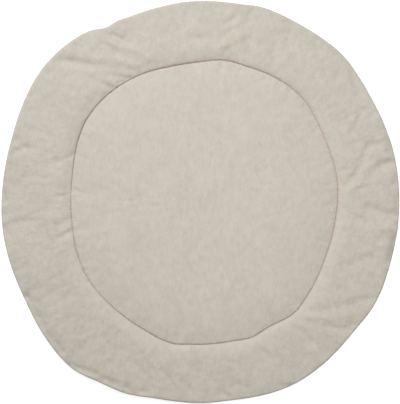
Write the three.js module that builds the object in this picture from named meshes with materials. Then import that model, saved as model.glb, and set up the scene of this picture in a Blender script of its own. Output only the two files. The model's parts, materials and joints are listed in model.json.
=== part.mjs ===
// A round padded play mat for a baby, lying flat on the floor. Two rounds of velour are sewn
// together at the rim, turned and filled with soft wadding. One ring of stitching, sewn through
// all the layers, parts a puffy outer ring from a flatter centre. The whole mat is one filled solid.
//
// Millimetres, +Z up. The origin lies on the floor under the middle of the mat, and +Y points
// to the edge that is furthest from someone who stands at its foot.

import * as THREE from 'three';

// Heights above the floor.
const RING_CROWN = 26;
const CENTRE_CROWN = 25;
const SEAM_TOP = 11.5;
const SEAM_UNDERSIDE = 3;
const RIM_SEAM = 12;

// Beside the stitching the top stands up steeply out of a narrow crease, and beyond it the
// filling still rises softly towards its crown. The softness is the distance of most of that rise.
const CREASE_DEPTH = 5.5;
const CREASE_WIDTH = 2.5;
const RING_SOFTNESS = 14;
const CENTRE_SOFTNESS = 40;

// How far each rounding runs in from its sewn line.
const RIM_ROUND = 9;
const UNDER_RIM_ROUND = 34;
const UNDER_SEAM_ROUND = 28;
const RIM_SQUARENESS = 3;

// A fold or a swell has its full height from this far off a sewn line, which holds it down.
const FOLD_ROOT = 10;

// Spokes of the mesh round the mat.
const SPOKES = 180;

// The rim as it lies: how far the sewn edge reaches from the origin at each bearing, in degrees
// counter-clockwise from +X. The edge is drawn in where its seam puckers.
const RIM = [
  { bearing: 0, reach: 497 },
  { bearing: 15, reach: 499 },
  { bearing: 30, reach: 500 },
  { bearing: 38, reach: 505 },
  { bearing: 46, reach: 512 },
  { bearing: 60, reach: 510 },
  { bearing: 73, reach: 512 },
  { bearing: 79, reach: 506 },
  { bearing: 92, reach: 504 },
  { bearing: 104, reach: 499 },
  { bearing: 111, reach: 498 },
  { bearing: 115, reach: 500 },
  { bearing: 118.5, reach: 498 },
  { bearing: 123.5, reach: 513 },
  { bearing: 134, reach: 520 },
  { bearing: 142, reach: 518 },
  { bearing: 152, reach: 508 },
  { bearing: 161, reach: 500 },
  { bearing: 172, reach: 498 },
  { bearing: 188, reach: 501 },
  { bearing: 208, reach: 503 },
  { bearing: 219, reach: 514 },
  { bearing: 232, reach: 526 },
  { bearing: 241, reach: 517 },
  { bearing: 249, reach: 514 },
  { bearing: 257, reach: 504 },
  { bearing: 270, reach: 503 },
  { bearing: 279, reach: 502 },
  { bearing: 296, reach: 512 },
  { bearing: 306, reach: 509 },
  { bearing: 319, reach: 502 },
  { bearing: 330, reach: 505 },
  { bearing: 342, reach: 499 },
];

// The ring of stitching, in the same way: guided by hand, so it swells and has small corners.
const SEAM = [
  { bearing: 0, reach: 342 },
  { bearing: 12, reach: 346 },
  { bearing: 22, reach: 346 },
  { bearing: 34, reach: 353 },
  { bearing: 46, reach: 363 },
  { bearing: 60, reach: 362 },
  { bearing: 71, reach: 358 },
  { bearing: 81, reach: 359 },
  { bearing: 91, reach: 350 },
  { bearing: 102, reach: 347 },
  { bearing: 115, reach: 352 },
  { bearing: 130, reach: 355 },
  { bearing: 144, reach: 352 },
  { bearing: 154, reach: 342 },
  { bearing: 165, reach: 330 },
  { bearing: 175, reach: 325 },
  { bearing: 190, reach: 326 },
  { bearing: 205, reach: 335 },
  { bearing: 216, reach: 341 },
  { bearing: 228, reach: 342 },
  { bearing: 245, reach: 348 },
  { bearing: 258.5, reach: 360 },
  { bearing: 266, reach: 356 },
  { bearing: 283, reach: 356 },
  { bearing: 290.5, reach: 361 },
  { bearing: 299, reach: 355 },
  { bearing: 310, reach: 362 },
  { bearing: 320, reach: 353 },
  { bearing: 335, reach: 341 },
  { bearing: 350, reach: 339 },
];

// The main folds of the top cloth, each a soft trough along a path of points, placed where the
// real mat has them. A negative depth is a ridge.
const FOLDS = [
  { path: [[-346, 357], [-321, 353], [-276, 347]], depth: 5, width: 10 },
  { path: [[-276, 347], [-251, 343], [-181, 333], [-148, 327]], depth: 2.4, width: 9 },
  { path: [[-341, 374], [-301, 369], [-251, 361]], depth: -2.6, width: 10 },
  { path: [[-251, 361], [-201, 357], [-168, 344]], depth: -2, width: 9 },
  { path: [[-236, 429], [-208, 414], [-178, 399]], depth: 4.2, width: 9 },
  { path: [[-251, 419], [-231, 404], [-206, 393], [-176, 387]], depth: -2.2, width: 9 },
  { path: [[-176, 387], [-151, 374], [-133, 359]], depth: -1.8, width: 9 },
  { path: [[-246, 397], [-228, 387], [-208, 377]], depth: 2.8, width: 9 },
  { path: [[-226, 317], [-198, 311], [-178, 308]], depth: 1.8, width: 8 },
  { path: [[-466, 155], [-458, 160]], depth: 2.2, width: 8 },
  { path: [[-456, 130], [-433, 141]], depth: 3.4, width: 9 },
  { path: [[-363, 104], [-331, 114], [-318, 121]], depth: 2.2, width: 8 },
  { path: [[-351, 16], [-331, 22], [-321, 27]], depth: 2.5, width: 8 },
  { path: [[-490, 19], [-487, 6]], depth: 3, width: 8 },
  { path: [[-476, -48], [-446, -46], [-413, -38]], depth: 2, width: 9 },
  { path: [[-343, -68], [-326, -61]], depth: 2.2, width: 8 },
  { path: [[-486, -60], [-483, -72]], depth: 3, width: 8 },
  { path: [[-436, -229], [-427, -242]], depth: 4.8, width: 9 },
  { path: [[-408, -272], [-391, -301], [-361, -351]], depth: 2, width: 10 },
  { path: [[-356, -363], [-331, -384]], depth: 2.8, width: 9 },
  { path: [[-323, -404], [-303, -412], [-271, -421]], depth: 3.5, width: 9 },
  { path: [[-243, -438], [-206, -447]], depth: 2, width: 9 },
  { path: [[-178, -456], [-158, -478]], depth: 3, width: 9 },
  { path: [[-166, -383], [-146, -390], [-138, -432]], depth: 2.2, width: 9 },
  { path: [[-158, -338], [-123, -386], [-101, -416], [-63, -463]], depth: -2, width: 9 },
  { path: [[-101, -396], [-73, -426], [-49, -474]], depth: 2, width: 9 },
  { path: [[-40, -444], [-11, -478]], depth: 2.5, width: 9 },
  { path: [[52, -474], [72, -486]], depth: 2.6, width: 9 },
  { path: [[142, -358], [154, -371], [169, -386]], depth: 2, width: 9 },
  { path: [[202, -457], [232, -455]], depth: 2.8, width: 9 },
  { path: [[232, -308], [257, -321], [284, -329], [289, -349]], depth: 2.4, width: 8 },
  { path: [[242, -293], [277, -296]], depth: 2.2, width: 8 },
  { path: [[264, -283], [294, -286], [349, -284], [392, -276]], depth: -2, width: 8 },
  { path: [[264, -268], [299, -260], [337, -255], [374, -247]], depth: 2.8, width: 8 },
  { path: [[374, -247], [404, -242], [429, -233]], depth: 2.2, width: 9 },
  { path: [[314, -307], [342, -313], [379, -317]], depth: 2.4, width: 8 },
  { path: [[374, -296], [405, -292]], depth: 3.6, width: 8 },
  { path: [[344, -153], [369, -151], [389, -143], [439, -131]], depth: 2.4, width: 9 },
  { path: [[482, -90], [476, -118], [464, -140]], depth: 4.5, width: 9 },
  { path: [[489, 20], [491, -26]], depth: 3, width: 8 },
  { path: [[402, 7], [429, -12], [449, -18], [490, -31]], depth: 3, width: 9 },
  { path: [[459, -61], [486, -50]], depth: -2, width: 10 },
  { path: [[359, -13], [384, -33], [409, -53]], depth: 2.2, width: 8 },
  { path: [[412, 39], [397, 29], [379, 13]], depth: 2.6, width: 8 },
  { path: [[427, 97], [409, 74], [397, 50], [374, 30]], depth: -2.4, width: 8 },
  { path: [[397, 89], [389, 78], [379, 62], [364, 42]], depth: 3.4, width: 8 },
  { path: [[439, 152], [424, 146], [412, 137], [407, 124], [404, 107]], depth: 3, width: 8 },
  { path: [[439, 98], [462, 99], [489, 102]], depth: 5.8, width: 9 },
  { path: [[369, 184], [384, 209], [399, 237]], depth: 2.2, width: 8 },
  { path: [[62, 452], [77, 457], [84, 467]], depth: 2.2, width: 8 },
  { path: [[52, 391], [69, 398], [99, 417]], depth: -2.6, width: 9 },
  { path: [[12, 362], [54, 364]], depth: 1.8, width: 8 },
];

// Where the filling has shifted, the top swells and sinks in long uneven waves round the mat.
const SWELLS = [
  { waves: 3, phase: 40, height: 0.7 },
  { waves: 7, phase: 115, height: 0.6 },
  { waves: 12, phase: 260, height: 0.4 },
];

// The half section, from the middle of the top out to the rim and back underneath. A share of
// 0 to 1 crosses the centre from the middle to the stitching, and 1 to 2 crosses the ring.
const TOP = 1;
const UNDERSIDE = -1;
const CENTRE_SHARES = [0, 0.4, 0.65, 0.8, 0.9, 0.96, 0.987, 0.996];
const RING_SHARES = [
  1, 1.008, 1.028, 1.07, 1.13, 1.22, 1.34, 1.48, 1.62, 1.75, 1.84, 1.9, 1.945, 1.972, 1.99, 2,
];
const UNDER_RING_SHARES = [1.98, 1.92, 1.84, 1.76, 1.25, 1.1, 1];
const UNDER_CENTRE_SHARES = [0.9, 0];

/** The reach of an uneven ring at a bearing: a smooth closed curve through the table's rows. */
function reachAt(table, bearing) {
  const count = table.length;
  const turned = ((bearing % 360) + 360) % 360;
  let row = count - 1;
  while (table[row].bearing > turned) row -= 1;
  const pick = (step) => {
    const index = row + step;
    const lap = Math.floor(index / count);
    const { bearing: angle, reach } = table[index - lap * count];
    return { angle: angle + 360 * lap, reach };
  };
  const [before, start, end, after] = [pick(-1), pick(0), pick(1), pick(2)];
  const span = end.angle - start.angle;
  const share = (turned - start.angle) / span;
  const startSlope = (span * (end.reach - before.reach)) / (end.angle - before.angle);
  const endSlope = (span * (after.reach - start.reach)) / (after.angle - start.angle);
  const rise = share * share * (3 - 2 * share);
  return (
    start.reach * (1 - rise) +
    end.reach * rise +
    startSlope * share * (1 - share) ** 2 -
    endSlope * share ** 2 * (1 - share)
  );
}

/** How far a rounding has risen at a distance from its sewn line: 0 on it, 1 from `width` away. */
function rounding(distance, width, power = 2) {
  const gap = 1 - Math.min(Math.max(distance / width, 0), 1);
  return (1 - gap ** power) ** (1 / power);
}

/** How high the top stands above the stitching at a distance from it, where the rim is far off. */
function riseFromSeam(distance, crown, softness) {
  const soft = crown - SEAM_TOP - CREASE_DEPTH;
  return CREASE_DEPTH * rounding(distance, CREASE_WIDTH) + soft * (1 - Math.exp(-distance / softness));
}

/** How far a point lies from the straight line between two others. */
function distanceFrom(start, end, x, y) {
  const along = [end[0] - start[0], end[1] - start[1]];
  const share = ((x - start[0]) * along[0] + (y - start[1]) * along[1]) / Math.hypot(...along) ** 2;
  const nearest = Math.min(Math.max(share, 0), 1);
  return Math.hypot(x - start[0] - nearest * along[0], y - start[1] - nearest * along[1]);
}

/** The depth of the folds at a point of the top: the deepest trough there and the highest ridge. */
function foldDepth(x, y) {
  const depths = FOLDS.map(({ path, depth, width }) => {
    const off = path.slice(1).map((end, leg) => distanceFrom(path[leg], end, x, y));
    return depth * Math.exp(-((Math.min(...off) / width) ** 2));
  });
  return Math.max(...depths) + Math.min(...depths);
}

/** The long waves of the filling at a bearing. */
function swell(bearing) {
  return SWELLS.reduce((sum, { waves, phase, height }) => {
    return sum + height * Math.sin(THREE.MathUtils.degToRad(waves * bearing + phase));
  }, 0);
}

/** The point of the mat at a bearing and a share of the half section, on its top or underside. */
function matPoint(bearing, share, side) {
  const seamReach = reachAt(SEAM, bearing);
  const rimReach = reachAt(RIM, bearing);
  const inRing = share > 1;
  const reach = inRing ? seamReach + (share - 1) * (rimReach - seamReach) : share * seamReach;
  const angle = THREE.MathUtils.degToRad(bearing);
  const x = reach * Math.cos(angle);
  const y = reach * Math.sin(angle);
  const fromSeam = Math.abs(reach - seamReach);
  const fromRim = inRing ? rimReach - reach : Infinity;

  if (side === UNDERSIDE) {
    const seamLift = SEAM_UNDERSIDE * (1 - rounding(fromSeam, UNDER_SEAM_ROUND));
    const rimLift = RIM_SEAM * (1 - rounding(fromRim, UNDER_RIM_ROUND));
    return new THREE.Vector3(x, y, seamLift + rimLift);
  }
  const crown = inRing ? RING_CROWN : CENTRE_CROWN;
  const softness = inRing ? RING_SOFTNESS : CENTRE_SOFTNESS;
  const rimDrop = (crown - RIM_SEAM) * (1 - rounding(fromRim, RIM_ROUND, RIM_SQUARENESS));
  const filled = SEAM_TOP + riseFromSeam(fromSeam, crown, softness) - rimDrop;
  const relief = (swell(bearing) * share) / 2 - foldDepth(x, y);
  const free = rounding(fromSeam, FOLD_ROOT) * rounding(fromRim, FOLD_ROOT);
  return new THREE.Vector3(x, y, filled + relief * free);
}

/** The filled mat: a turned half section whose every point moves to its place on the mat. */
function matGeometry() {
  const stations = (shares, side) => shares.map((share) => new THREE.Vector2(share, side));
  const halfSection = [
    ...stations(CENTRE_SHARES, TOP),
    ...stations(RING_SHARES, TOP),
    ...stations(UNDER_RING_SHARES, UNDERSIDE),
    ...stations(UNDER_CENTRE_SHARES, UNDERSIDE),
  ];
  const geometry = new THREE.LatheGeometry(halfSection.reverse(), SPOKES);
  geometry.rotateX(Math.PI / 2);
  const places = geometry.attributes.position;
  for (let i = 0; i < places.count; i += 1) {
    const share = Math.hypot(places.getX(i), places.getY(i));
    const bearing = THREE.MathUtils.radToDeg(Math.atan2(places.getY(i), places.getX(i)));
    const side = places.getZ(i) > 0 ? TOP : UNDERSIDE;
    places.setXYZ(i, ...matPoint(bearing, share, side).toArray());
  }
  geometry.deleteAttribute('uv');
  geometry.computeVertexNormals();
  return geometry;
}

const velour = new THREE.MeshStandardMaterial({ color: 0xcfc6ba, roughness: 0.95, metalness: 0 });

const mat = new THREE.Mesh(matGeometry(), velour);
mat.name = 'padded_mat';

const playMat = new THREE.Group();
playMat.add(mat);

export default playMat;
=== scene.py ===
"""Looks of a round padded play mat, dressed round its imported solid.

Metres, +Z up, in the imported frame: the origin lies on the floor under the middle of the mat, and
+Y is the top of the picture. Two rounds of velour are cut, sewn at the rim and filled; a ring of
stitching through all the layers parts the puffy outer ring from the flatter centre.
"""

from __future__ import annotations

import json
import logging
import math
from collections.abc import Callable, Iterable
from dataclasses import dataclass, field
from enum import Enum

import bmesh
import bpy
import numpy as np
from bpy.types import Material, NodeSocket, Object
from mathutils import Matrix, Vector, noise

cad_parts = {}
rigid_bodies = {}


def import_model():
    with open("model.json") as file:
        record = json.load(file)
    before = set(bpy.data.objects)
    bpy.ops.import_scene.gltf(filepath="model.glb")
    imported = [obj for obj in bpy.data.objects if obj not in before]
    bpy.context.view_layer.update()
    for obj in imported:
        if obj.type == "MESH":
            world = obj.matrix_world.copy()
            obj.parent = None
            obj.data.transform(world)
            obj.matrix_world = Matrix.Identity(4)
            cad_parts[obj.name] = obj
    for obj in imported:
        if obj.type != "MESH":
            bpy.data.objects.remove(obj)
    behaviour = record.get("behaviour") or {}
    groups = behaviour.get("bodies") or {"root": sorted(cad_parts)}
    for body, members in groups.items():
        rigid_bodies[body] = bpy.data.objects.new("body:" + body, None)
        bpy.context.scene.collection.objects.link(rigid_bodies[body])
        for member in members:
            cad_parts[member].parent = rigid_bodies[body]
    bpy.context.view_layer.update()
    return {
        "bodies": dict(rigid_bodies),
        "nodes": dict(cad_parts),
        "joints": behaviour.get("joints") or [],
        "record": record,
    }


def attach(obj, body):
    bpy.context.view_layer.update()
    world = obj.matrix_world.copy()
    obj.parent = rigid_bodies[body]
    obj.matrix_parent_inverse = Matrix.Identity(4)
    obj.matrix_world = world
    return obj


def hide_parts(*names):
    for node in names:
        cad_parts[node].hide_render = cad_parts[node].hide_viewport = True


LOG = logging.getLogger("play_mat")

MAT_NODE = "padded_mat"
BODY = "root"
FROM_SEAM = "from_seam"

# The solid's stitching lies between these reaches, and its rim beyond them.
SEAM_BAND = (0.3, 0.4)
SAME_HEIGHT = 2e-4
SAME_SHARE = 1e-4

Colour = tuple[float, float, float]
Point = tuple[float, float]
Triple = tuple[float, float, float]
TURN = 2 * math.pi


def linear(colour: Colour) -> tuple[float, float, float, float]:
    """A colour as it looks on a screen, turned into the linear one that a shader takes.

    Args:
        colour: Red, green and blue from 0 to 1, as seen on a screen.

    Returns:
        The linear colour, with an alpha of 1.
    """
    red, green, blue = (
        part / 12.92 if part <= 0.04045 else ((part + 0.055) / 1.055) ** 2.4
        for part in colour
    )
    return red, green, blue, 1.0


class Side(Enum):
    """The two faces of the mat."""

    TOP = "top"
    UNDER = "under"


# Shader graphs


@dataclass(frozen=True)
class Value:
    """A number socket in a shader graph, for maths written as Python expressions."""

    graph: Graph
    socket: NodeSocket

    def _maths(self, operation: str, *terms: Value | float) -> Value:
        """One Math node on the given terms."""
        inputs = dict(enumerate(terms))
        return self.graph.value("ShaderNodeMath", {"operation": operation}, inputs)

    def __add__(self, other: Value | float) -> Value:
        """The sum, by an Add node."""
        return self._maths("ADD", self, other)

    __radd__ = __add__

    def __sub__(self, other: Value | float) -> Value:
        """The difference, by a Subtract node."""
        return self._maths("SUBTRACT", self, other)

    def __rsub__(self, other: float) -> Value:
        """A number less this value."""
        return self._maths("SUBTRACT", other, self)

    def __abs__(self) -> Value:
        """The value without its sign, by an Absolute node."""
        return self._maths("ABSOLUTE", self)

    def __mul__(self, other: Value | float) -> Value:
        """The product, by a Multiply node."""
        return self._maths("MULTIPLY", self, other)

    __rmul__ = __mul__


class Graph:
    """A material's shader graph, built by expressions and one node-making method."""

    # The sockets of a Mix node that mixes colours.
    MIX_LOW = 6
    MIX_HIGH = 7
    MIXED = 2

    def __init__(self, name: str) -> None:
        """Starts a material.

        Args:
            name: The material's name.
        """
        self.material = bpy.data.materials.new(name)
        self.material.use_nodes = True
        self.tree = self.material.node_tree
        self.shader = self.tree.nodes["Principled BSDF"]

    def node(self, kind: str, settings: dict[str, object], inputs: dict) -> bpy.types.Node:
        """Adds a node, sets it up, then fills or links its input sockets.

        Args:
            kind: The node's type.
            settings: Attributes of the node, set first.
            inputs: Values or links by the socket's name or index.

        Returns:
            The node.
        """
        made = self.tree.nodes.new(kind)
        for key, setting in settings.items():
            setattr(made, key, setting)
        for key, given in inputs.items():
            self.fill(made.inputs[key], given)
        return made

    def fill(self, socket: NodeSocket, given: object) -> None:
        """Links a socket to another, or sets its value.

        Args:
            socket: The input socket.
            given: A value, a socket, or what the socket is set to.
        """
        if isinstance(given, Value):
            given = given.socket
        if isinstance(given, NodeSocket):
            self.tree.links.new(given, socket)
        else:
            socket.default_value = given

    def value(
        self, kind: str, settings: dict[str, object], inputs: dict, output: int | str = 0
    ) -> Value:
        """Adds a node and returns one of its outputs as a value."""
        return Value(self, self.node(kind, settings, inputs).outputs[output])

    def place(self, scale: Triple) -> NodeSocket:
        """The piece's own coordinates, scaled.

        Args:
            scale: Repeats per metre along each axis.

        Returns:
            The vector socket.
        """
        here = self.node("ShaderNodeTexCoord", {}, {}).outputs["Object"]
        inputs = {"Vector": here, "Scale": scale}
        return self.node("ShaderNodeMapping", {}, inputs).outputs["Vector"]

    def noise(self, spot: NodeSocket, detail: float = 2.0) -> Value:
        """Noise from 0 to 1, about 0.5 in the mean, with features one unit of the spot wide."""
        inputs = {"Vector": spot, "Scale": 1.0, "Detail": detail}
        return self.value("ShaderNodeTexNoise", {}, inputs, "Fac")

    def cloud(self, scale: Triple, detail: float = 2.0) -> Value:
        """Noise with features of one repeat of the scale.

        Args:
            scale: Repeats per metre along each axis.
            detail: Octaves of finer noise.

        Returns:
            The noise.
        """
        return self.noise(self.place(scale), detail)

    def rays(self, around: float, outward: float) -> Value:
        """Noise drawn out along the lines that leave the middle.

        Args:
            around: Features in one radian round the middle.
            outward: Features per metre outward.

        Returns:
            The noise.
        """
        flat = self.vector("MULTIPLY", self.place((1.0, 1.0, 1.0)), (1.0, 1.0, 0.0))
        way = self.vector("MULTIPLY", self.vector("NORMALIZE", flat), (around,) * 3)
        reach = self.value("ShaderNodeVectorMath", {"operation": "LENGTH"}, {0: flat}, "Value")
        up = self.node("ShaderNodeCombineXYZ", {}, {"Z": reach * outward}).outputs[0]
        return self.noise(self.vector("ADD", way, up))

    def vector(self, operation: str, *terms: object) -> NodeSocket:
        """One Vector Math node on the given terms.

        Args:
            operation: What the node does.
            terms: Its inputs, as vectors or sockets.

        Returns:
            The node's vector socket.
        """
        inputs = dict(enumerate(terms))
        node = self.node("ShaderNodeVectorMath", {"operation": operation}, inputs)
        return node.outputs["Vector"]

    def ramp(self, share: Value, start: float, end: float) -> Value:
        """A smooth step from 0 where the value is at the start to 1 at the end."""
        inputs = {"Value": share, "From Min": start, "From Max": end}
        return self.value("ShaderNodeMapRange", {"interpolation_type": "SMOOTHSTEP"}, inputs)

    def attribute(self, name: str) -> Value:
        """A number that the mesh holds at each point."""
        return self.value("ShaderNodeAttribute", {"attribute_name": name}, {}, "Fac")

    def blend(self, share: Value, low: object, high: object) -> NodeSocket:
        """A mix of two colours.

        Args:
            share: From 0, the low colour, to 1, the high one.
            low: A linear colour or a colour socket.
            high: A linear colour or a colour socket.

        Returns:
            The mixed colour's socket.
        """
        inputs = {"Factor": share, self.MIX_LOW: low, self.MIX_HIGH: high}
        return self.node("ShaderNodeMix", {"data_type": "RGBA"}, inputs).outputs[self.MIXED]

    def surface(self, **inputs: object) -> None:
        """Fills the shader's inputs, an underscore standing for a space in a name."""
        for name, given in inputs.items():
            self.fill(self.shader.inputs[name.replace("_", " ")], given)

    def bump(self, height: Value) -> NodeSocket:
        """Turns a height in metres into a normal."""
        inputs = {"Height": height, "Distance": 1.0, "Strength": 1.0}
        return self.node("ShaderNodeBump", {}, inputs).outputs["Normal"]


@dataclass(frozen=True)
class Velour:
    """Short-pile velour, brushed along Y, with soft marks where the nap lies another way.

    Marks are spaced in repeats per metre, or per radian round the middle. A tone is how much a
    mark adds to the share of the light colour, and a height how far it lifts the cloth. Painted
    shade darkens the outer ring a little and tints the crease by the stitching darker and warmer.
    """

    name: str = "velour"
    light: Colour = (0.752, 0.732, 0.700)
    dark: Colour = (0.690, 0.667, 0.625)
    # Painted shade: a darker, warmer tint of the cloth in the crease beside the stitching, where the
    # groove lies in shadow.
    deep: Colour = (0.742, 0.698, 0.650)
    nap: Triple = (230.0, 75.0, 100.0)
    blotches: Triple = (75.0, 60.0, 60.0)
    patches: Triple = (20.0, 15.0, 16.0)
    pile: Triple = (1500.0, 900.0, 1200.0)
    nap_tone: float = 0.8
    blotch_tone: float = 0.9
    patch_tone: float = 0.5
    # Painted shade: the outer ring is made a little darker than the centre, for light that falls off
    # towards the edge.
    ring_shade_tone: float = -0.12
    plain_tone: float = -0.55
    pile_height: float = 0.0003
    nap_height: float = 0.0004
    blotch_height: float = 0.0012
    ring_edge: float = 0.04
    wrinkles_round: float = 25.0
    wrinkles_outward: float = 45.0
    wrinkle_height: float = 0.0004
    ring_wrinkle_height: float = 0.0023
    puckers_round: float = 75.0
    puckers_outward: float = 12.0
    pucker_height: float = 0.0012
    pucker_reach: float = 0.020
    # Where the painted crease shade is full, where it has faded out, and how strong it is.
    crease_shade_middle: float = 0.0005
    crease_edge: float = 0.0045
    crease_shade_share: float = 0.8

    def material(self) -> Material:
        """Builds the finish.

        Returns:
            The material.
        """
        graph = Graph(self.name)
        nap = graph.cloud(self.nap, detail=3.0)
        blotches = graph.cloud(self.blotches, detail=3.0)
        patches = graph.cloud(self.patches)
        pile = graph.cloud(self.pile, detail=1.0)
        from_seam = graph.attribute(FROM_SEAM)
        in_ring = graph.ramp(from_seam, 0.0, self.ring_edge)
        # Painted shade along the stitching crease, full at the seam and gone a few millimetres off it.
        crease_shade_mask = 1 - graph.ramp(abs(from_seam), self.crease_shade_middle, self.crease_edge)
        beside = 1 - graph.ramp(abs(from_seam), 0.0, self.pucker_reach)
        puckers = graph.rays(self.puckers_round, self.puckers_outward)
        wrinkles = graph.rays(self.wrinkles_round, self.wrinkles_outward)

        tone = nap * self.nap_tone + blotches * self.blotch_tone + patches * self.patch_tone
        # The ring's negative tone is painted shade that darkens the outer ring.
        tone = tone + in_ring * self.ring_shade_tone + self.plain_tone
        height = pile * self.pile_height + nap * self.nap_height + blotches * self.blotch_height
        height = height + wrinkles * (in_ring * self.ring_wrinkle_height + self.wrinkle_height)
        height = height + puckers * beside * self.pucker_height
        brushed = graph.blend(tone, linear(self.dark), linear(self.light))
        graph.surface(
            # The base colour mixes in the painted crease shade beside the stitching.
            Base_Color=graph.blend(crease_shade_mask * self.crease_shade_share, brushed, linear(self.deep)),
            Roughness=0.92,
            Sheen_Weight=0.4,
            Sheen_Roughness=0.45,
            Specular_IOR_Level=0.1,
            Normal=graph.bump(height),
        )
        return graph.material


@dataclass(frozen=True)
class Thread:
    """Spun sewing thread, a rosy brown a little darker than the cloth."""

    name: str = "thread"
    colour: Colour = (0.69, 0.60, 0.545)
    fibres: Triple = (1500.0, 1500.0, 1500.0)
    shade: float = 0.8

    def material(self) -> Material:
        """Builds the finish.

        Returns:
            The material.
        """
        graph = Graph(self.name)
        darker = tuple(part * self.shade for part in self.colour)
        colour = graph.blend(graph.cloud(self.fibres), linear(darker), linear(self.colour))
        graph.surface(Base_Color=colour, Roughness=0.7, Sheen_Weight=0.2)
        return graph.material


# The mat's form


@dataclass(frozen=True)
class SewnLine:
    """A closed line of sewing, as its reach from the middle at evenly spaced bearings."""

    reaches: np.ndarray

    @classmethod
    def on_node(cls, points: np.ndarray, spokes: int, pick: Callable) -> SewnLine:
        """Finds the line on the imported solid.

        Args:
            points: The points of the solid that may lie on the line.
            spokes: How many bearings the solid's mesh has.
            pick: Chooses the reach out of those at one bearing, such as max.

        Returns:
            The line.
        """
        reach = np.hypot(points[:, 0], points[:, 1])
        spoke = np.rint(np.arctan2(points[:, 1], points[:, 0]) / TURN * spokes) % spokes
        return cls(np.array([pick(reach[spoke == index]) for index in range(spokes)]))

    def at(self, bearing: np.ndarray) -> np.ndarray:
        """The reach at each bearing, on a smooth curve through the line's points.

        Args:
            bearing: Bearings in radians.

        Returns:
            The reach at each, in metres.
        """
        count = len(self.reaches)
        step = np.asarray(bearing) / TURN * count
        start = np.floor(step).astype(int)
        share = step - start
        before, here, after, beyond = (self.reaches[(start + k) % count] for k in (-1, 0, 1, 2))
        leaving, arriving = (after - before) / 2, (beyond - here) / 2
        rise = share * share * (3 - 2 * share)
        return (
            here * (1 - rise)
            + after * rise
            + leaving * share * (1 - share) ** 2
            - arriving * share**2 * (1 - share)
        )


@dataclass(frozen=True)
class Fold:
    """A soft trough in the top cloth along a path of points; a negative depth is a ridge.

    Its two sides have a width each, on the left and on the right of the path.
    """

    path: tuple[Point, ...]
    depth: float
    left: float
    right: float

    def depth_at(self, x: np.ndarray, y: np.ndarray) -> np.ndarray:
        """How deep the fold is at each point.

        Args:
            x: The points' places along X.
            y: The points' places along Y.

        Returns:
            The depth at each point.
        """
        off = np.full_like(x, math.inf)
        width = np.full_like(x, self.left)
        for start, end in zip(self.path, self.path[1:]):
            run, rise = end[0] - start[0], end[1] - start[1]
            from_x, from_y = x - start[0], y - start[1]
            share = np.clip((from_x * run + from_y * rise) / (run * run + rise * rise), 0, 1)
            from_here = np.hypot(from_x - share * run, from_y - share * rise)
            side = np.where(from_y * run > from_x * rise, self.left, self.right)
            width = np.where(from_here < off, side, width)
            off = np.minimum(off, from_here)
        return self.depth * np.exp(-((off / width) ** 2))


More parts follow.
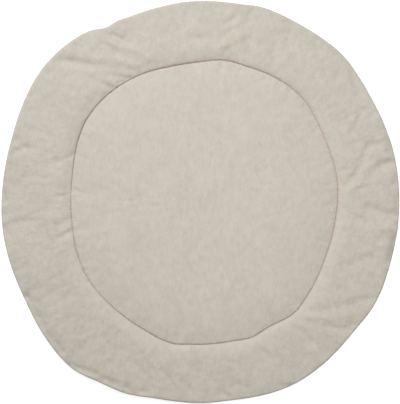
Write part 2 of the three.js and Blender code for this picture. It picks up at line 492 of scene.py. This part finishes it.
# The top cloth's folds, from the upper left round by the left, the bottom and the right.
FOLDS = (
    Fold(((-0.346, 0.353), (-0.319, 0.349), (-0.276, 0.343)), 0.0048, 0.008, 0.013),
    Fold(((-0.276, 0.343), (-0.251, 0.339), (-0.181, 0.330), (-0.148, 0.325)), 0.0022, 0.007, 0.010),
    Fold(((-0.336, 0.371), (-0.301, 0.366), (-0.251, 0.358)), -0.0020, 0.010, 0.009),
    Fold(((-0.251, 0.358), (-0.201, 0.354), (-0.168, 0.342)), -0.0022, 0.009, 0.008),
    Fold(((-0.219, 0.417), (-0.195, 0.403)), 0.0080, 0.006, 0.009),
    Fold(((-0.199, 0.405), (-0.178, 0.395)), 0.0034, 0.007, 0.009),
    Fold(((-0.241, 0.410), (-0.231, 0.401), (-0.206, 0.390), (-0.176, 0.384)), -0.0022, 0.008, 0.008),
    Fold(((-0.176, 0.387), (-0.151, 0.374), (-0.133, 0.359)), -0.0020, 0.009, 0.009),
    Fold(((-0.241, 0.393), (-0.228, 0.383), (-0.206, 0.372)), 0.0028, 0.007, 0.009),
    Fold(((-0.201, 0.369), (-0.178, 0.364), (-0.158, 0.351)), 0.0012, 0.007, 0.008),
    Fold(((-0.228, 0.318), (-0.198, 0.312), (-0.176, 0.309)), 0.0040, 0.006, 0.007),
    Fold(((-0.205, 0.300), (-0.182, 0.303)), 0.0030, 0.005, 0.006),
    Fold(((-0.291, 0.224), (-0.261, 0.259)), 0.0024, 0.012, 0.012),
    Fold(((-0.151, 0.333), (-0.090, 0.349)), 0.0020, 0.008, 0.008),
    Fold(((-0.271, 0.304), (-0.243, 0.294), (-0.223, 0.286)), 0.0030, 0.006, 0.007),
    Fold(((-0.326, 0.320), (-0.301, 0.310)), 0.0012, 0.007, 0.007),
    Fold(((-0.466, 0.154), (-0.456, 0.160)), 0.0026, 0.006, 0.007),
    Fold(((-0.461, 0.124), (-0.436, 0.136)), 0.0046, 0.007, 0.009),
    Fold(((-0.363, 0.103), (-0.346, 0.105), (-0.331, 0.112), (-0.318, 0.119)), 0.0040, 0.005, 0.010),
    Fold(((-0.329, 0.095), (-0.331, 0.000)), 0.0022, 0.014, 0.014),
    Fold(((-0.361, 0.079), (-0.331, 0.078)), 0.0018, 0.005, 0.007),
    Fold(((-0.351, 0.014), (-0.331, 0.020), (-0.321, 0.025)), 0.0040, 0.0045, 0.006),
    Fold(((-0.316, 0.033), (-0.301, 0.025)), 0.0032, 0.004, 0.005),
    Fold(((-0.490, 0.020), (-0.487, 0.004)), 0.0045, 0.006, 0.006),
    Fold(((-0.476, -0.053), (-0.446, -0.051), (-0.413, -0.043)), 0.0024, 0.009, 0.012),
    Fold(((-0.353, -0.057), (-0.328, -0.043)), 0.0026, 0.006, 0.010),
    Fold(((-0.348, -0.084), (-0.323, -0.070)), 0.0036, 0.005, 0.012),
    Fold(((-0.486, -0.064), (-0.482, -0.080)), 0.0048, 0.006, 0.007),
    Fold(((-0.434, -0.234), (-0.424, -0.247)), 0.0056, 0.007, 0.007),
    Fold(((-0.411, -0.247), (-0.403, -0.257)), 0.0028, 0.006, 0.006),
    Fold(((-0.414, -0.268), (-0.402, -0.293), (-0.386, -0.320)), 0.0036, 0.009, 0.009),
    Fold(((-0.386, -0.320), (-0.366, -0.346), (-0.346, -0.372)), 0.0042, 0.008, 0.008),
    Fold(((-0.323, -0.406), (-0.303, -0.414), (-0.265, -0.427)), 0.0046, 0.007, 0.007),
    Fold(((-0.245, -0.441), (-0.208, -0.452)), 0.0036, 0.008, 0.008),
    Fold(((-0.243, -0.332), (-0.231, -0.360)), 0.0018, 0.007, 0.007),
    Fold(((-0.203, -0.328), (-0.206, -0.378)), 0.0026, 0.008, 0.010),
    Fold(((-0.185, -0.460), (-0.166, -0.480)), 0.0042, 0.007, 0.007),
    Fold(((-0.173, -0.391), (-0.148, -0.418), (-0.126, -0.441), (-0.120, -0.466)), 0.0028, 0.008, 0.010),
    Fold(((-0.148, -0.472), (-0.127, -0.476)), 0.0038, 0.007, 0.007),
    Fold(((-0.163, -0.343), (-0.128, -0.391), (-0.106, -0.421), (-0.068, -0.468)), -0.0026, 0.006, 0.006),
    Fold(((-0.097, -0.420), (-0.080, -0.445), (-0.064, -0.470)), 0.0034, 0.007, 0.009),
    Fold(((-0.044, -0.447), (-0.016, -0.480)), 0.0038, 0.007, 0.008),
    Fold(((0.052, -0.474), (0.072, -0.487)), 0.0034, 0.007, 0.007),
    Fold(((0.087, -0.451), (0.119, -0.463)), 0.0018, 0.006, 0.007),
    Fold(((0.062, -0.394), (0.084, -0.402)), 0.0016, 0.007, 0.008),
    Fold(((0.142, -0.358), (0.154, -0.371), (0.169, -0.386)), 0.0026, 0.006, 0.007),
    Fold(((0.130, -0.407), (0.158, -0.430), (0.190, -0.462)), 0.0016, 0.008, 0.010),
    Fold(((0.202, -0.458), (0.232, -0.456)), 0.0036, 0.006, 0.006),
    Fold(((0.240, -0.312), (0.261, -0.330), (0.277, -0.350)), 0.0026, 0.007, 0.010),
    Fold(((0.242, -0.294), (0.277, -0.297)), 0.0012, 0.006, 0.007),
    Fold(((0.264, -0.283), (0.294, -0.286), (0.349, -0.285), (0.392, -0.277)), -0.0018, 0.007, 0.007),
    Fold(((0.264, -0.273), (0.299, -0.266), (0.337, -0.261), (0.374, -0.254)), 0.0015, 0.010, 0.010),
    Fold(((0.374, -0.254), (0.404, -0.248), (0.429, -0.240)), 0.0016, 0.009, 0.010),
    Fold(((0.339, -0.246), (0.374, -0.234), (0.409, -0.227)), -0.0012, 0.008, 0.008),
    Fold(((0.314, -0.308), (0.342, -0.314), (0.379, -0.318)), 0.0032, 0.007, 0.009),
    Fold(((0.372, -0.306), (0.400, -0.304)), 0.0036, 0.007, 0.008),
    Fold(((0.344, -0.158), (0.369, -0.156), (0.389, -0.148), (0.439, -0.136)), 0.0011, 0.010, 0.011),
    Fold(((0.369, -0.134), (0.419, -0.119)), -0.0012, 0.008, 0.008),
    Fold(((0.487, -0.094), (0.482, -0.119), (0.473, -0.145)), 0.0090, 0.011, 0.011),
    Fold(((0.484, -0.056), (0.496, -0.054)), 0.0045, 0.0035, 0.0035),
    Fold(((0.490, 0.012), (0.492, -0.026)), 0.0045, 0.007, 0.008),
    Fold(((0.396, 0.006), (0.416, -0.008)), 0.0014, 0.009, 0.012),
    Fold(((0.420, -0.012), (0.431, -0.019), (0.450, -0.026), (0.490, -0.034)), 0.0044, 0.010, 0.014),
    Fold(((0.459, -0.060), (0.486, -0.050)), -0.0012, 0.009, 0.020),
    Fold(((0.359, -0.015), (0.384, -0.035), (0.409, -0.055)), 0.0020, 0.008, 0.009),
    Fold(((0.379, 0.013), (0.397, 0.029), (0.412, 0.039)), 0.0010, 0.006, 0.009),
    Fold(((0.374, 0.030), (0.397, 0.050), (0.409, 0.074), (0.424, 0.092)), -0.0010, 0.007, 0.007),
    Fold(((0.364, 0.042), (0.379, 0.062), (0.389, 0.078), (0.397, 0.090)), 0.0036, 0.008, 0.007),
    Fold(((0.347, 0.079), (0.364, 0.083)), 0.0024, 0.005, 0.006),
    Fold(((0.404, 0.105), (0.408, 0.127), (0.420, 0.143), (0.436, 0.147)), 0.0034, 0.008, 0.009),
    Fold(((0.450, 0.0945), (0.466, 0.096), (0.492, 0.099)), 0.0068, 0.010, 0.013),
    Fold(((0.440, 0.118), (0.464, 0.115)), -0.0022, 0.007, 0.007),
    Fold(((0.464, 0.186), (0.474, 0.156), (0.481, 0.126)), 0.0044, 0.016, 0.016),
    Fold(((0.486, 0.085), (0.490, 0.050)), 0.0034, 0.012, 0.012),
    Fold(((0.322, 0.217), (0.359, 0.182)), 0.0018, 0.005, 0.005),
    Fold(((0.374, 0.174), (0.389, 0.202), (0.407, 0.229)), 0.0026, 0.006, 0.007),
    Fold(((0.376, 0.315), (0.384, 0.294), (0.396, 0.270)), 0.0026, 0.009, 0.010),
    Fold(((0.307, 0.402), (0.322, 0.378)), 0.0022, 0.008, 0.009),
    Fold(((0.285, 0.395), (0.302, 0.374)), 0.0018, 0.009, 0.010),
    Fold(((0.187, 0.405), (0.187, 0.354)), 0.0018, 0.008, 0.010),
    Fold(((0.216, 0.420), (0.222, 0.386)), 0.0016, 0.012, 0.012),
    Fold(((0.120, 0.405), (0.124, 0.362)), 0.0032, 0.010, 0.012),
    Fold(((0.062, 0.446), (0.077, 0.451), (0.084, 0.462)), 0.0045, 0.006, 0.007),
    Fold(((0.052, 0.412), (0.069, 0.421), (0.089, 0.434)), 0.0024, 0.006, 0.006),
    Fold(((0.052, 0.391), (0.069, 0.398), (0.099, 0.417)), -0.0028, 0.005, 0.016),
    Fold(((0.057, 0.377), (0.079, 0.386)), 0.0012, 0.006, 0.006),
    Fold(((0.010, 0.360), (0.056, 0.363)), 0.0008, 0.007, 0.006),
    Fold(((-0.022, 0.408), (0.018, 0.408)), 0.0030, 0.010, 0.014),
)


@dataclass(frozen=True)
class Swell:
    """A long wave of the filling round the mat."""

    waves: int
    phase: float
    height: float


@dataclass(frozen=True)
class Form:
    """The filled mat's form: its sewn lines in plan, and its heights above the floor.

    The crease beside the stitching is eased, or shallower, at the right and the left.
    """

    rim: SewnLine
    seam: SewnLine
    ring_crown: float = 0.026
    centre_crown: float = 0.025
    seam_top: float = 0.0115
    seam_underside: float = 0.003
    rim_height: float = 0.012
    crease_depth: float = 0.0048
    crease_ease: float = 0.55
    ease_bearing: float = math.radians(10)
    ease_lean: float = 0.22
    crease_width: float = 0.0014
    ring_softness: float = 0.0115
    centre_softness: float = 0.031
    rim_round: float = 0.009
    rim_squareness: float = 3.0
    under_rim_round: float = 0.034
    under_seam_round: float = 0.028
    fold_root: float = 0.010
    swells: tuple[Swell, ...] = (
        Swell(3, math.radians(40), 0.0007),
        Swell(7, math.radians(115), 0.0006),
        Swell(12, math.radians(260), 0.0004),
    )
    wrinkle: float = 0.0015
    wrinkles_round: float = 26.0
    wrinkle_length: float = 0.09
    wrinkle_start: float = 0.75
    centre_wrinkle: float = 0.1
    sewn_rim: float = 1.987

    @classmethod
    def of_solid(cls, solid: Object, spokes: int = 180) -> Form:
        """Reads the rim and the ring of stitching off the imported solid.

        Args:
            solid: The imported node.
            spokes: How many bearings its mesh has.

        Returns:
            The form.
        """
        places = np.empty(len(solid.data.vertices) * 3, dtype=np.float32)
        solid.data.vertices.foreach_get("co", places)
        places = places.reshape(-1, 3).astype(float)
        reach = np.hypot(places[:, 0], places[:, 1])
        in_band = (reach > SEAM_BAND[0]) & (reach < SEAM_BAND[1])
        stitched = in_band & (np.abs(places[:, 2] - cls.seam_top) < SAME_HEIGHT)
        return cls(
            rim=SewnLine.on_node(places[reach > SEAM_BAND[1]], spokes, np.max),
            seam=SewnLine.on_node(places[stitched], spokes, np.mean),
        )

    @staticmethod
    def rounding(distance: np.ndarray, width: float, power: float = 2.0) -> np.ndarray:
        """How far a rounding has risen at a distance from its sewn line.

        Args:
            distance: How far each point lies from the line.
            width: Where the rounding ends.
            power: 2 for a round shoulder, more for a squarer one.

        Returns:
            From 0 on the line to 1 at the width.
        """
        gap = 1 - np.clip(distance / width, 0, 1)
        return (1 - gap**power) ** (1 / power)

    def filled(self, bearing: np.ndarray, reach: np.ndarray, side: Side) -> np.ndarray:
        """The height of the filled cloth over points of the floor, without folds.

        Args:
            bearing: The points' bearings, in radians.
            reach: How far each lies from the middle.
            side: Which face of the mat.

        Returns:
            The height at each point.
        """
        seam, rim = self.seam.at(bearing), self.rim.at(bearing)
        in_ring = reach > seam
        from_seam = np.abs(reach - seam)
        from_rim = np.maximum(rim - reach, 0)
        if side is Side.UNDER:
            at_seam = self.rounding(from_seam, self.under_seam_round)
            at_rim = self.rounding(from_rim, self.under_rim_round)
            return self.seam_underside * (1 - at_seam) + self.rim_height * (1 - at_rim)
        crown = np.where(in_ring, self.ring_crown, self.centre_crown)
        softness = np.where(in_ring, self.ring_softness, self.centre_softness)
        sideways = np.cos(bearing - self.ease_bearing)
        eased = self.crease_ease * sideways**2 * (1 - self.ease_lean * (1 - sideways))
        crease = self.crease_depth * (1 - eased)
        soft = crown - self.seam_top - crease
        filled = self.seam_top + crease * self.rounding(from_seam, self.crease_width)
        filled += soft * (1 - np.exp(-from_seam / softness))
        at_rim = self.rounding(from_rim, self.rim_round, self.rim_squareness)
        return filled - (crown - self.rim_height) * (1 - at_rim)

    def relief(self, bearing: np.ndarray, reach: np.ndarray) -> np.ndarray:
        """How far folds, wrinkles and the filling's swells lift points of the top cloth.

        Args:
            bearing: The points' bearings, in radians.
            reach: How far each lies from the middle.

        Returns:
            The lift at each point, negative in a trough.
        """
        share = self.share(bearing, reach)
        x, y = reach * np.cos(bearing), reach * np.sin(bearing)
        depths = np.array([fold.depth_at(x, y) for fold in FOLDS])
        lift = -depths.max(axis=0) - depths.min(axis=0)
        for swell in self.swells:
            lift += swell.height * np.sin(swell.waves * bearing + swell.phase) * share / 2
        strength = np.clip(share - self.wrinkle_start, self.centre_wrinkle, 1)
        lift += self.wrinkle * self._ruffle(bearing, reach) * strength
        return lift * self.free(bearing, reach)

    def share(self, bearing: np.ndarray, reach: np.ndarray) -> np.ndarray:
        """0 to 1 from the middle to the stitching, and 1 to 2 from there to the rim."""
        seam, rim = self.seam.at(bearing), self.rim.at(bearing)
        return np.where(reach > seam, 1 + (reach - seam) / (rim - seam), reach / seam)

    def sewn(self, bearing: np.ndarray, reach: np.ndarray) -> np.ndarray:
        """Which points lie on a sewn line."""
        share = self.share(bearing, reach)
        return (np.abs(share - 1) < SAME_SHARE) | (share > self.sewn_rim)

    def free(self, bearing: np.ndarray, reach: np.ndarray) -> np.ndarray:
        """How free the cloth is of its two sewn lines.

        Args:
            bearing: The points' bearings, in radians.
            reach: How far each lies from the middle.

        Returns:
            From 0 on a sewn line to 1 where the cloth is free of both.
        """
        from_seam = np.abs(reach - self.seam.at(bearing))
        from_rim = np.maximum(self.rim.at(bearing) - reach, 0)
        return self.rounding(from_seam, self.fold_root) * self.rounding(from_rim, self.fold_root)

    def _ruffle(self, bearing: np.ndarray, reach: np.ndarray) -> np.ndarray:
        """Small wrinkles that run outward, from -1 to 1, the same at every run."""
        spots = zip(
            np.cos(bearing) * self.wrinkles_round,
            np.sin(bearing) * self.wrinkles_round,
            reach / self.wrinkle_length,
        )
        return np.array([noise.noise(spot) for spot in spots])


@dataclass(frozen=True)
class Cut:
    """One round of velour as it is cut: rings of points from the middle out to the rim.

    A share of 0 to 1 crosses the centre to the stitching, and 1 to 2 crosses the ring. The
    count of points round a ring doubles at each share in `doublings`.
    """

    side: Side
    first_spokes: int
    shares: tuple[float, ...]
    doublings: tuple[float, ...]


def even_shares(start: float, end: float, steps: int) -> tuple[float, ...]:
    """Evenly spaced shares after the start, up to the end, to four places."""
    return tuple(round(start + (end - start) * (step + 1) / steps, 4) for step in range(steps))


@dataclass(frozen=True)
class Wadding:
    """The soft filling, over which cloth with a little length to spare buckles into wrinkles.

    A short cloth simulation: the sewn lines and the underside hold the cloth, and the wadding
    draws every other point weakly back to the filled form. Only the wrinkles are kept of it,
    the waves shorter than `longest` times round the mat, so the form keeps its measured profile.
    """

    frames: int = 20
    quality: int = 6
    cloth_mass: float = 0.25
    pressure: float = 0.3
    spare_length: float = 0.05
    hold: float = 0.05
    flat_hold: float = 0.9
    centre_ease: float = 0.6
    stiffness: float = 12.0
    shear: float = 4.0
    bending: float = 0.2
    longest: int = 14
    ring_steps: int = 2000
    most_movement: float = 0.004
    seam_margin: float = 0.0015
    rim_margin: float = 0.0002

    def fill(self, mat: Object, form: Form) -> None:
        """Runs the simulation and lays its wrinkles, then the folds, on the mesh.

        Args:
            mat: The sewn mat, laid on its form.
            form: The mat's form.
        """
        rest = self._places(mat.data)
        reach = np.hypot(rest[:, 0], rest[:, 1])
        bearing = np.arctan2(rest[:, 1], rest[:, 0])
        under = rest[:, 2] < form.seam_underside + self.seam_margin
        under |= rest[:, 2] < form.rim_height - self.rim_margin
        free = form.free(bearing, reach)
        rest[:, 2] += np.where(under, 0, form.relief(bearing, reach))
        share = form.share(bearing, reach)
        sewn = form.sewn(bearing, reach)
        holds = np.where(sewn, 1.0, np.where(under, self.flat_hold, self.hold))
        eases = np.where(share > 1, 1.0, self.centre_ease)
        mat.data.vertices.foreach_set("co", rest.astype(np.float32).ravel())
        self._group(mat, "held", holds)
        self._group(mat, "eased", np.where(under, 0.0, eases))
        moved = self._wrinkles(self._run(mat) - rest, np.where(under, -share, share), bearing)
        length = np.linalg.norm(moved, axis=1)
        LOG.info("wrinkles up to %.1f mm", length.max() * 1000)
        kept = np.minimum(1.0, self.most_movement / np.maximum(length, 1e-9))
        rest += moved * (kept * free)[:, None]
        mat.vertex_groups.clear()
        rest[:, 2] = np.maximum(rest[:, 2], 0)
        mat.data.vertices.foreach_set("co", rest.astype(np.float32).ravel())

    def _wrinkles(self, moved: np.ndarray, share: np.ndarray, bearing: np.ndarray) -> np.ndarray:
        """Takes the long waves round the mat out of a movement.

        Args:
            moved: Each point's movement.
            share: Which ring of the cut each point is on.
            bearing: Where on the ring each point is.

        Returns:
            The short waves of the movement.
        """
        short = np.zeros_like(moved)
        rings = np.rint(share * self.ring_steps).astype(int)
        for ring in np.unique(rings):
            points = np.flatnonzero(rings == ring)
            points = points[np.argsort(bearing[points])]
            waves = np.fft.rfft(moved[points], axis=0)
            waves[: self.longest] = 0
            short[points] = np.fft.irfft(waves, n=len(points), axis=0)
        return short

    @staticmethod
    def _places(mesh: bpy.types.Mesh) -> np.ndarray:
        """Reads a mesh's points.

        Args:
            mesh: The mesh.

        Returns:
            The points, a row each.
        """
        places = np.empty(len(mesh.vertices) * 3, dtype=np.float32)
        mesh.vertices.foreach_get("co", places)
        return places.reshape(-1, 3).astype(float)

    @staticmethod
    def _group(mat: Object, name: str, weights: np.ndarray) -> None:
        """Adds a vertex group with a weight for each point.

        Args:
            mat: The sewn mat.
            name: The group's name.
            weights: The weights, in the order of the mesh's points.
        """
        group = mat.vertex_groups.new(name=name)
        for weight in np.unique(weights):
            group.add(np.flatnonzero(weights == weight).tolist(), float(weight), "REPLACE")

    def _run(self, mat: Object) -> np.ndarray:
        """Steps the cloth through its frames.

        Args:
            mat: The sewn mat, with its vertex groups.

        Returns:
            Where its points end, a row each.
        """
        cloth = mat.modifiers.new("cloth", "CLOTH")
        settings = cloth.settings
        settings.quality = self.quality
        settings.mass = self.cloth_mass
        settings.tension_stiffness = settings.compression_stiffness = self.stiffness
        settings.shear_stiffness = self.shear
        settings.bending_stiffness = self.bending
        settings.use_pressure = True
        settings.uniform_pressure_force = self.pressure
        settings.effector_weights.gravity = 0
        settings.vertex_group_mass = "held"
        settings.pin_stiffness = 1.0
        settings.vertex_group_shrink = "eased"
        settings.shrink_min = 0
        settings.shrink_max = -self.spare_length
        cloth.collision_settings.use_collision = False
        scene = bpy.context.scene
        for frame in range(1, self.frames + 1):
            scene.frame_set(frame)
        filled = mat.evaluated_get(bpy.context.evaluated_depsgraph_get())
        places = self._places(filled.data)
        mat.modifiers.remove(cloth)
        scene.frame_set(1)
        return places


@dataclass
class PaddedMat:
    """The filled velour mat: both rounds sewn at the rim and stitched together in a ring."""

    form: Form
    velour: Material
    name: str = "velour_mat"
    top: Cut = field(
        default_factory=lambda: Cut(
            Side.TOP,
            32,
            (0.035, 0.075, 0.11, 0.15)
            + even_shares(0.15, 0.3, 4)
            + even_shares(0.3, 0.92, 10)
            + (0.95, 0.972, 0.985, 0.993, 0.9975, 1.0)
            + (1.006, 1.016, 1.032, 1.055, 1.085)
            + even_shares(1.085, 1.88, 18)
            + (1.91, 1.94, 1.965, 1.985, 2.0),
            (0.075, 0.15, 0.3, 0.92),
        )
    )
    under: Cut = field(
        default_factory=lambda: Cut(
            Side.UNDER,
            32,
            (0.06, 0.13, 0.3, 0.5, 0.72, 0.88, 0.97, 1.0)
            + (1.03, 1.12, 1.3, 1.5, 1.7, 1.84, 1.94, 2.0),
            (0.06, 0.13, 0.5, 1.94),
        )
    )
    wadding: Wadding = field(default_factory=Wadding)
    rim_pinch: float = 0.0006
    pinched_from: float = 1.999
    weld: float = 1e-5

    def build(self) -> Object:
        """Cuts, sews, fills and dresses the mat.

        Returns:
            The finished object.
        """
        mesh = bpy.data.meshes.new(self.name)
        cloth = bmesh.new()
        for cut in (self.top, self.under):
            self._cut_round(cut, mesh)
            cloth.from_mesh(mesh)
        bmesh.ops.remove_doubles(cloth, verts=cloth.verts, dist=self.weld)
        bmesh.ops.recalc_face_normals(cloth, faces=cloth.faces)
        self._crease(cloth)
        cloth.to_mesh(mesh)
        cloth.free()
        mesh.shade_smooth()
        mat = bpy.data.objects.new(self.name, mesh)
        bpy.context.collection.objects.link(mat)
        mat.data.materials.append(self.velour)
        self._mark(mesh)
        self.wadding.fill(mat, self.form)
        smooth = mat.modifiers.new("smooth", "SUBSURF")
        smooth.levels = smooth.render_levels = 1
        return mat

    def _cut_round(self, cut: Cut, mesh: bpy.types.Mesh) -> None:
        """Grows one round outward from its middle, ring by ring, and lays it in place.

        Args:
            cut: The round to cut.
            mesh: The mesh to write it to.
        """
        cloth = bmesh.new()
        bmesh.ops.create_circle(
            cloth, cap_ends=True, cap_tris=True, segments=cut.first_spokes, radius=cut.shares[0]
        )
        edge = [e for e in cloth.edges if e.is_boundary]
        for share, outer in zip(cut.shares, cut.shares[1:]):
            if share in cut.doublings:
                bmesh.ops.subdivide_edges(cloth, edges=edge, cuts=1)
                edge = [e for e in cloth.edges if e.is_boundary]
                for vert in {v for e in edge for v in e.verts}:
                    vert.co *= share / vert.co.length
            grown = bmesh.ops.extrude_edge_only(cloth, edges=edge)["geom"]
            verts = [part for part in grown if isinstance(part, bmesh.types.BMVert)]
            edge = [part for part in grown if isinstance(part, bmesh.types.BMEdge)]
            edge = [e for e in edge if e.is_boundary]
            bmesh.ops.scale(cloth, verts=verts, vec=(outer / share,) * 3)
        self._lay(cloth, cut.side)
        cloth.to_mesh(mesh)
        cloth.free()

    def _mark(self, mesh: bpy.types.Mesh) -> None:
        """Writes each point's distance from the stitching on the mesh, positive in the ring.

        Args:
            mesh: The sewn mesh.
        """
        bearing = [math.atan2(v.co.y, v.co.x) for v in mesh.vertices]
        reach = [math.hypot(v.co.x, v.co.y) for v in mesh.vertices]
        from_seam = np.array(reach) - self.form.seam.at(bearing)
        marks = mesh.attributes.new(FROM_SEAM, "FLOAT", "POINT")
        marks.data.foreach_set("value", from_seam.astype(np.float32))

    def _crease(self, cloth: bmesh.types.BMesh) -> None:
        """Keeps the sewn lines sharp when the cloth is smoothed.

        Args:
            cloth: Both rounds, sewn.
        """
        sharp = cloth.edges.layers.float.new("crease_edge")
        bearing = np.array([math.atan2(v.co.y, v.co.x) for v in cloth.verts])
        reach = np.array([math.hypot(v.co.x, v.co.y) for v in cloth.verts])
        for vert, sewn in zip(cloth.verts, self.form.sewn(bearing, reach)):
            vert.tag = bool(sewn)
        for edge in cloth.edges:
            if edge.verts[0].tag and edge.verts[1].tag:
                edge[sharp] = 1.0

    def _lay(self, cloth: bmesh.types.BMesh, side: Side) -> None:
        """Moves the points of a flat round to the filled mat.

        Args:
            cloth: The flat round, with each point at its share from the middle.
            side: Which face of the mat it is.
        """
        bearing = np.array([math.atan2(v.co.y, v.co.x) for v in cloth.verts])
        share = np.array([v.co.length for v in cloth.verts])
        seam, rim = self.form.seam.at(bearing), self.form.rim.at(bearing)
        reach = np.where(share <= 1, share * seam, seam + (share - 1) * (rim - seam))
        height = self.form.filled(bearing, reach, side)
        reach = np.where(share > self.pinched_from, reach - self.rim_pinch, reach)
        for vert, angle, out, up in zip(cloth.verts, bearing, reach, height):
            vert.co = (out * math.cos(angle), out * math.sin(angle), up)


@dataclass
class Stitching:
    """The ring of stitches through all the layers, sunk in the crease on both faces."""

    form: Form
    thread: Material
    name: str = "stitching"
    pitch: float = 0.0037
    length: float = 0.0031
    thickness: float = 0.0007
    sunk: float = 0.25
    samples: int = 4001

    def build(self) -> Object:
        """Sews both rows of stitches.

        Returns:
            The finished object.
        """
        rows = bmesh.new()
        stitch = self._stitch()
        lift = self.thickness * (0.5 - self.sunk)
        places, turns = self._line()
        for height in (self.form.seam_top + lift, self.form.seam_underside - lift):
            for (x, y), turn in zip(places, turns):
                sewn = stitch.copy()
                sewn.transform(Matrix.Translation((x, y, height)) @ Matrix.Rotation(turn, 4, "Z"))
                rows.from_mesh(sewn)
                bpy.data.meshes.remove(sewn)
        mesh = bpy.data.meshes.new(self.name)
        rows.to_mesh(mesh)
        rows.free()
        mesh.shade_smooth()
        mesh.materials.append(self.thread)
        stitches = bpy.data.objects.new(self.name, mesh)
        bpy.context.collection.objects.link(stitches)
        return stitches

    def _line(self) -> tuple[np.ndarray, np.ndarray]:
        """Spaces the stitches evenly along the sewn line.

        Returns:
            Each stitch's place in plan, and its turn about Z.
        """
        bearing = np.linspace(0, TURN, self.samples)
        reach = self.form.seam.at(bearing)
        line = np.column_stack((reach * np.cos(bearing), reach * np.sin(bearing)))
        along = np.concatenate(([0], np.cumsum(np.hypot(*np.diff(line, axis=0).T))))
        count = round(along[-1] / self.pitch)
        wanted = np.arange(count) * along[-1] / count
        places = np.column_stack([np.interp(wanted, along, axis) for axis in line.T])
        onward = np.roll(places, -1, axis=0) - np.roll(places, 1, axis=0)
        return places, np.arctan2(onward[:, 1], onward[:, 0])

    def _stitch(self) -> bpy.types.Mesh:
        """Makes one stitch along X, a short length of thread shaped as a thin ellipsoid.

        Returns:
            The stitch's mesh.
        """
        size = Matrix.Diagonal((self.length, self.thickness, self.thickness, 1.0))
        thread = bmesh.new()
        bmesh.ops.create_uvsphere(thread, u_segments=6, v_segments=5, radius=0.5, matrix=size)
        mesh = bpy.data.meshes.new("stitch")
        thread.to_mesh(mesh)
        thread.free()
        return mesh


# The studio


@dataclass(frozen=True)
class Softbox:
    """A square soft light that faces the middle of the mat."""

    name: str
    place: Triple
    size: float
    power: float
    colour: Colour

    def build(self) -> None:
        """Hangs the light."""
        lamp = bpy.data.lights.new(self.name, "AREA")
        lamp.shape = "SQUARE"
        lamp.size = self.size
        lamp.energy = self.power
        lamp.color = self.colour
        light = bpy.data.objects.new(self.name, lamp)
        bpy.context.collection.objects.link(light)
        light.location = self.place
        light.rotation_mode = "QUATERNION"
        light.rotation_quaternion = (-Vector(self.place)).to_track_quat("-Z", "Y")


@dataclass(frozen=True)
class Studio:
    """A white floor, soft light from the top left and a camera straight above the mat."""

    picture_metres: tuple[float, float] = (1.000, 1.010)
    picture_centre: Point = (-0.0020, 0.0005)
    focal_length: float = 110.0
    sensor: float = 36.0
    floor_size: float = 12.0
    world_strength: float = 0.19
    world_colour: Colour = (1.0, 0.985, 0.96)
    floor_tone: float = 0.8
    floor_glow: float = 0.65
    floor_gap: float = 0.0003
    softboxes: tuple[Softbox, ...] = (
        Softbox("key_light", (-1.35, 2.2, 2.6), 1.2, 103.0, (1.0, 0.99, 0.972)),
        Softbox("top_light", (0.35, 0.0, 1.8), 0.8, 18.0, (1.0, 0.99, 0.97)),
    )

    def build(self, rim_height: float) -> None:
        """Sets up the floor, the lights and the camera.

        Args:
            rim_height: Where the picture's width is measured, above the floor.
        """
        self._floor()
        self._world()
        for softbox in self.softboxes:
            softbox.build()
        self._camera(rim_height)

    def _floor(self) -> None:
        """Lays the floor."""
        graph = Graph("white_floor")
        graph.surface(
            Base_Color=linear((self.floor_tone,) * 3),
            Roughness=0.9,
            Emission_Color=(1.0, 1.0, 1.0, 1.0),
            Emission_Strength=self.floor_glow,
        )
        mesh = bpy.data.meshes.new("floor")
        plane = bmesh.new()
        bmesh.ops.create_grid(plane, x_segments=1, y_segments=1, size=self.floor_size / 2)
        plane.to_mesh(mesh)
        plane.free()
        mesh.materials.append(graph.material)
        floor = bpy.data.objects.new("floor", mesh)
        bpy.context.collection.objects.link(floor)
        floor.location.z = -self.floor_gap

    def _world(self) -> None:
        """Fills the room with soft light."""
        world = bpy.data.worlds.new("studio")
        world.use_nodes = True
        background = world.node_tree.nodes["Background"]
        background.inputs["Color"].default_value = (*self.world_colour, 1.0)
        background.inputs["Strength"].default_value = self.world_strength
        bpy.context.scene.world = world

    def _camera(self, rim_height: float) -> None:
        """Hangs the camera so that the picture has its width and height at the rim.

        Args:
            rim_height: The rim's height above the floor.
        """
        data = bpy.data.cameras.new("camera")
        data.lens = self.focal_length
        data.sensor_width = self.sensor
        camera = bpy.data.objects.new("camera", data)
        bpy.context.collection.objects.link(camera)
        distance = max(self.picture_metres) * self.focal_length / self.sensor
        camera.location = (*self.picture_centre, rim_height + distance)
        bpy.context.scene.camera = camera
        bpy.context.scene.view_settings.view_transform = "Standard"


def main() -> None:
    """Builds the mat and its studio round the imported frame."""
    logging.basicConfig(level=logging.INFO, format="%(message)s")
    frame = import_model()
    form = Form.of_solid(frame["nodes"][MAT_NODE])
    Studio().build(form.rim_height)

    mat = PaddedMat(form, Velour().material()).build()
    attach(mat, BODY)
    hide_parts(MAT_NODE)
    LOG.info("%s: %d faces", mat.name, len(mat.data.polygons))

    stitches = Stitching(form, Thread().material()).build()
    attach(stitches, BODY)
    LOG.info("%s: %d faces", stitches.name, len(stitches.data.polygons))


if __name__ == "__main__":
    main()
